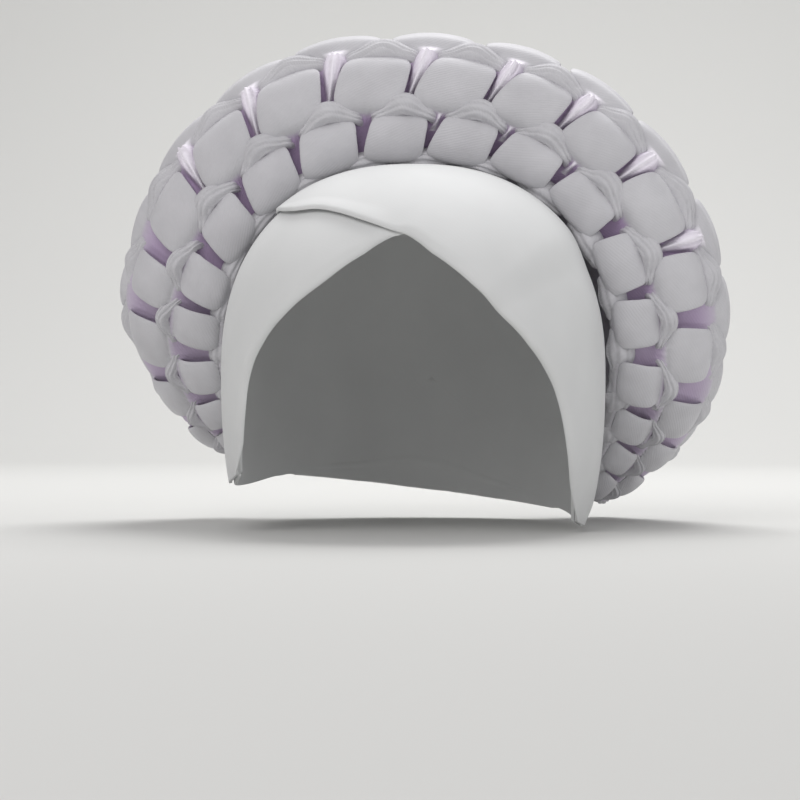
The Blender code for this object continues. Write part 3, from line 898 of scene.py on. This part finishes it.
def ring_stations(place, over_inner, near, far, ends, crest, below, wide, narrow, bend):
    """Stations of one ring band, which arches over every other radial band.

    Phase is the distance in columns from the middle of an arch.
    """
    start = FIRST_COLUMN - RING_OVERRUN
    end = LAST_COLUMN + RING_OVERRUN
    columns = np.linspace(start, end, int((end - start) * STATIONS_PER_COLUMN) + 1)
    signed = (columns + (0 if over_inner else 1) + 1) % 2 - 1
    phase = np.abs(signed)
    under = smooth_step(phase, near, far)
    arch = np.cos(np.clip(phase / near, 0, 1) * math.pi / 2) ** 2
    over_height = ends + (crest - ends) * arch
    height = (over_height + (below - over_height) * under) * MM
    taper = 1 - ARCH_TAPER * np.clip(phase / near, 0, 1) ** 2
    breadth = 1 - MIDDLE_RING_SLIMNESS * at_sides(columns) * (place == MIDDLE_RING)
    breadth += INNER_RING_SWELL * within(columns, SWELL_SPAN) * (place == INNER_RING)
    over_half = wide * taper * breadth
    half = (over_half + (narrow - over_half) * under) * MM
    along, up = weave_axes(columns, place)
    base = weave_base(columns, place)
    across = unit(np.cross(up, along))
    shift = bend * MM * np.cos(math.pi * signed)
    shifted = across * shift[:, None]
    centre = base + up * height[:, None] + shifted
    tangent = unit(np.gradient(centre, axis=0))
    flat_tangent = unit(np.gradient(base + shifted, axis=0))
    sideways = unit(np.cross(up, flat_tangent))
    upward = unit(np.cross(-sideways, tangent))
    steps = np.linalg.norm(np.diff(centre, axis=0), axis=1)
    return {
        "centre": centre,
        "span": -sideways * half[:, None],
        "bow": -up * (half * RING_BOW)[:, None],
        "upward": upward,
        "half_thick": np.full(len(columns), RING_HALF_THICK),
        "crown": RING_CROWN * (1 - under),
        "pleat": RING_PLEAT * (1 - under) + RING_LEAST_PLEAT,
        "run": np.concatenate(([0.0], np.cumsum(steps))),
        # painted lilac shade where the ring band runs under
        "painted_lilac_shade": RING_PAINTED_SHADE * under,
        "fan": np.zeros(len(columns)),
        "fan_reach": np.ones(len(columns)),
    }


# Cap, wraps and cover
WELD_DISTANCE = 0.02 * MM
EDGE_ROUNDING = 0.32          # radius of a cut edge, as a share of the cloth's thickness
EDGE_ANGLE = math.radians(55)


def sheet_piece(name, grid, thickness, material, closed_round=False, tip=None):
    """A cloth sheet from rows of points, with an even thickness and softened edges."""
    rows, columns = grid.shape[:2]
    points = [Vector(point) for point in grid.reshape(-1, 3)]
    faces = []
    last = columns if closed_round else columns - 1
    for r in range(rows - 1):
        for c in range(last):
            d = (c + 1) % columns
            near = r * columns
            far = near + columns
            faces.append((near + c, near + d, far + d, far + c))
    if tip is not None:
        points.append(Vector(tip))
        start = (rows - 1) * columns
        for c in range(last):
            faces.append((start + c, start + (c + 1) % columns, len(points) - 1))
    mesh = bpy.data.meshes.new(name)
    mesh.from_pydata(points, [], faces)
    mesh.materials.append(material)
    mesh.polygons.foreach_set("use_smooth", [True] * len(mesh.polygons))
    obj = plain_object(name, mesh)
    weld = obj.modifiers.new("weld", "WELD")
    weld.merge_threshold = WELD_DISTANCE
    thick = obj.modifiers.new("cloth thickness", "SOLIDIFY")
    thick.thickness = thickness
    thick.offset = 0.0
    soft = obj.modifiers.new("soft edges", "BEVEL")
    soft.width = thickness * EDGE_ROUNDING
    soft.segments = 3
    soft.limit_method = "ANGLE"
    soft.angle_limit = EDGE_ANGLE
    return obj


def eased(start, end, share):
    """A back share between two others, spaced evenly round the head's curve."""
    first = np.arcsin(np.clip(start, -1, 1))
    last = np.arcsin(np.clip(end, -1, 1))
    return np.sin(first + (last - first) * share)


def face_edge(angle):
    """Back share of the cap's open edge at angles from -121 up to 239 degrees."""
    angle = np.asarray(angle, float)
    front = -table(FACE_EDGE, np.minimum(angle, FACE_END), 1)
    nape = table(NAPE_EDGE, np.maximum(angle, FACE_END), 1)
    return np.where(angle <= FACE_END, front, nape)


def edge_rows(count, power):
    """Shares from 0 to 1 that lie closer together near the edge."""
    return np.linspace(0.0, 1.0, count) ** power


def rolled(distance, radius):
    """How far a sheet dips at a distance from its rolled edge."""
    inside = np.clip(1.0 - distance / radius, 0.0, 1.0)
    return radius * (1.0 - np.sqrt(np.maximum(1.0 - inside * inside, 0.0)))


def from_edge(back, edge):
    """Distance along the cloth from its open edge, from the back shares of both."""
    turned = np.arcsin(np.clip(back, -1, 1)) - np.arcsin(np.clip(edge, -1, 1))[None, :]
    return turned * HEAD_HALF_DEPTH


def cap_grid():
    """The whole cap, from its open edge to its back; angles lie closer where the edge turns."""
    angles = np.unique(np.concatenate([np.linspace(*span) for span in CAP_ANGLES]))[:-1]
    shares = edge_rows(CAP_ROWS, CAP_ROW_POWER)[:-1]
    edge = face_edge(angles)
    edge = np.where(angles <= FACE_END, eased(edge, WRAP_BACK, CAP_INSET), edge)
    back = eased(edge[None, :], CAP_BACK, shares[:, None])
    off_hem = (from_edge(back, edge) - HEM_PLACE) / HEM_HALF_BREADTH
    hem = HEM_DEPTH * np.exp(-off_hem ** 2) * within(angles, HEM_SPAN)[None, :]
    return on_head(angles[None, :], back, CAP_MIDDLE - hem)


def wrap_grid(side):
    """One front wrap. side +1 is the right wrap, on top; -1 the left one below it."""
    last = WRAP_ENDS[side]
    angles = np.linspace(-CROSS_END, last, WRAP_ANGLES)
    crossing = -table(CROSS_EDGE, np.abs(angles), 1)
    edge = np.where(angles < 0, crossing, -table(FACE_EDGE, angles * side, 1))
    shares = edge_rows(WRAP_ROWS, WRAP_ROW_POWER)
    limit = WRAP_BACK - WRAP_NARROWING * smooth_step(angles, last - NARROWING_SPAN, last)
    back = eased(edge[None, :], np.maximum(limit, edge + LEAST_REACH)[None, :], shares[:, None])
    distance = from_edge(back, edge)
    radius = TIP_ROLL_RADIUS + (ROLL_RADIUS - TIP_ROLL_RADIUS) * smooth_step(angles, *ROLL_SPAN)
    dip = rolled(distance, radius[None, :]) * ROLL_DEPTH
    lift = np.full(angles.shape, LEFT_MIDDLE)
    if side > 0:
        over = 1 - smooth_step(angles, *CROSS_LIFT_SPAN)
        lift = LEFT_MIDDLE + (RIGHT_TOP_MIDDLE - LEFT_MIDDLE) * over
        open_edge = within(-angles, OPEN_EDGE_SPAN)[None, :] * OPEN_EDGE_LIFT
        dip -= open_edge * (1 - smooth_step(distance, *OPEN_EDGE_REACH))
    near_end = smooth_step(angles, last - ROLL_END_SPAN, last)
    dip = dip * (1 - near_end)[None, :]
    return on_head(angles[None, :] * side, back, lift[None, :] - dip)


def cover_grid():
    start = FIRST_COLUMN - RING_OVERRUN
    end = LAST_COLUMN + RING_OVERRUN
    columns = np.linspace(start, end, COVER_COLUMNS)
    shares = np.linspace(0.0, 1.0, COVER_ROWS)
    outer = weave_base(columns, COVER_START)
    inner = on_head(
        table(COVER_EDGE, columns, 1),
        table(COVER_EDGE, columns, 2),
        CLOTH + LAYER_GAP + PANEL_CLOTH / 2,
    )
    grid = outer[None] * (1 - shares)[:, None, None] + inner[None] * shares[:, None, None]
    grid[..., 1] += COVER_BULGE * np.sin(math.pi * shares)[:, None]
    return grid


# Making the pieces
def finish_piece(obj, node):
    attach(obj, "root")
    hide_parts(node)


def make_sheets():
    knit = scuba_knit()
    tip = on_head(0.0, 1.0, CAP_MIDDLE)
    cap = sheet_piece("scuba_cap", cap_grid(), CLOTH, knit, closed_round=True, tip=tip)
    finish_piece(cap, "cap")
    for side, node in ((-1, "left_wrap"), (1, "right_wrap")):
        wrap = sheet_piece("crossed_" + node, wrap_grid(side), CLOTH, knit)
        finish_piece(wrap, node)
    cover = sheet_piece("halo_back_cover", cover_grid(), PANEL_CLOTH, knit)
    finish_piece(cover, "back_cover")


def make_weave():
    tree = woven_band_tree()
    knit = band_knit()
    for node, strands, *shape in RING_CLOTH:
        strip = weave_strip(
            "woven_" + node,
            tree,
            ring_stations(*shape),
            {
                "Points Round": 56,
                "Pleats Across": strands,
                "Pleat Wander": 5.0,
                "Crease Depth": 0.5 * MM,
                "Crease Scale": 120.0,
                "Seed": 40 + shape[0],
                "Cloth": knit,
            },
        )
        finish_piece(strip, node)

    for column in range(FIRST_COLUMN, LAST_COLUMN + 1):
        inner = column % 2 == 0
        rows = INNER_ROW_CLOTH if inner else OUTER_ROW_CLOTH
        number = (column - FIRST_COLUMN) // 2 + 1
        node = "%s_row_band_%02d" % ("inner" if inner else "outer", number)
        pleated = float(inner and PLEATED_COLUMNS[0] < column < PLEATED_COLUMNS[1])
        strip = weave_strip(
            "woven_" + node,
            tree,
            band_stations(column, rows, pleated),
            {
                "Points Round": 64,
                "Pleats Across": 3.2,
                "Pleat Wander": 3.0,
                "Crease Depth": 0.45 * MM,
                "Crease Scale": 85.0,
                "Seed": column + 60,
                "Cloth": knit,
            },
        )
        finish_piece(strip, node)


# Studio
VIEW_TARGET = Vector((-0.0062, 0.0, -0.0904))
VIEW_AZIMUTH = 5.0            # degrees that the photograph was taken from the right
VIEW_DISTANCE = 1.0
PIXEL = 0.41 * MM             # one pixel of the photograph at the middle of the object
PHOTO_SIZE = 800
SENSOR_WIDTH = 36.0

FLOOR_GAP = 1.0 * MM          # between the lowest point of the head tie and the floor
COVE_NEAR = -2.0
COVE_BEND = 1.0               # where the floor starts to curve up
COVE_FAR = 1.5
COVE_TOP = 2.2
COVE_HALF_WIDTH = 2.6
COVE_STEPS = 16

# Soft lights: name, place, size in metres, power in watts, colour, what they are turned to
SOFTBOXES = [
    ("key_softbox", (-0.45, -1.20, 0.95), 0.9, 7.0, (1.0, 0.985, 0.98), VIEW_TARGET),
    ("fill_softbox", (1.1, -0.9, 0.15), 1.0, 3.0, (0.97, 0.98, 1.0), VIEW_TARGET),
    ("top_softbox", (0.1, 0.50, 0.95), 0.7, 8.0, (1.0, 1.0, 1.0), VIEW_TARGET),
    ("backdrop_softbox", (0.0, 0.70, 1.45), 0.8, 10.5, (1.0, 1.0, 1.0), Vector((0.0, 1.5, 0.60))),
]
WORLD_STRENGTH = 0.55


def make_camera():
    data = bpy.data.cameras.new("photo_camera")
    data.sensor_width = SENSOR_WIDTH
    data.lens = SENSOR_WIDTH * VIEW_DISTANCE / (PIXEL * PHOTO_SIZE)
    data.dof.use_dof = False
    camera = plain_object("photo_camera", data)
    turn = math.radians(VIEW_AZIMUTH)
    camera.location = VIEW_TARGET + VIEW_DISTANCE * Vector((math.sin(turn), -math.cos(turn), 0.0))
    camera.rotation_mode = "QUATERNION"
    camera.rotation_quaternion = (VIEW_TARGET - camera.location).to_track_quat("-Z", "Y")
    bpy.context.scene.camera = camera


def add_softbox(name, place, size, power, colour, target):
    data = bpy.data.lights.new(name, "AREA")
    data.shape = "SQUARE"
    data.size = size
    data.energy = power
    data.color = colour
    lamp = plain_object(name, data)
    lamp.location = place
    lamp.rotation_mode = "QUATERNION"
    lamp.rotation_quaternion = (target - Vector(place)).to_track_quat("-Z", "Y")


def make_cove():
    """Pale floor that curves up into a pale backdrop."""
    floor_level = cad_box[0].z - FLOOR_GAP
    radius = COVE_FAR - COVE_BEND
    profile = [(COVE_NEAR, floor_level), (COVE_BEND, floor_level)]
    for step in range(1, COVE_STEPS + 1):
        turn = math.pi / 2 * step / COVE_STEPS
        across = COVE_BEND + radius * math.sin(turn)
        profile.append((across, floor_level + radius * (1 - math.cos(turn))))
    profile.append((COVE_FAR, COVE_TOP))
    points = []
    for y, z in profile:
        points.append((-COVE_HALF_WIDTH, y, z))
        points.append((COVE_HALF_WIDTH, y, z))
    faces = [(2 * i, 2 * i + 1, 2 * i + 3, 2 * i + 2) for i in range(len(profile) - 1)]
    mesh = bpy.data.meshes.new("studio_cove")
    mesh.from_pydata(points, [], faces)
    mesh.polygons.foreach_set("use_smooth", [True] * len(faces))
    mesh.materials.append(studio_paper())
    plain_object("studio_cove", mesh)


def make_studio():
    make_cove()
    for softbox in SOFTBOXES:
        add_softbox(*softbox)
    world = bpy.data.worlds.new("studio_world")
    world.use_nodes = True
    background = world.node_tree.nodes["Background"]
    background.inputs["Color"].default_value = linear("#F2F1F2")
    background.inputs["Strength"].default_value = WORLD_STRENGTH
    bpy.context.scene.world = world
    bpy.context.scene.view_settings.view_transform = "Standard"


make_weave()
make_sheets()
make_camera()
make_studio()
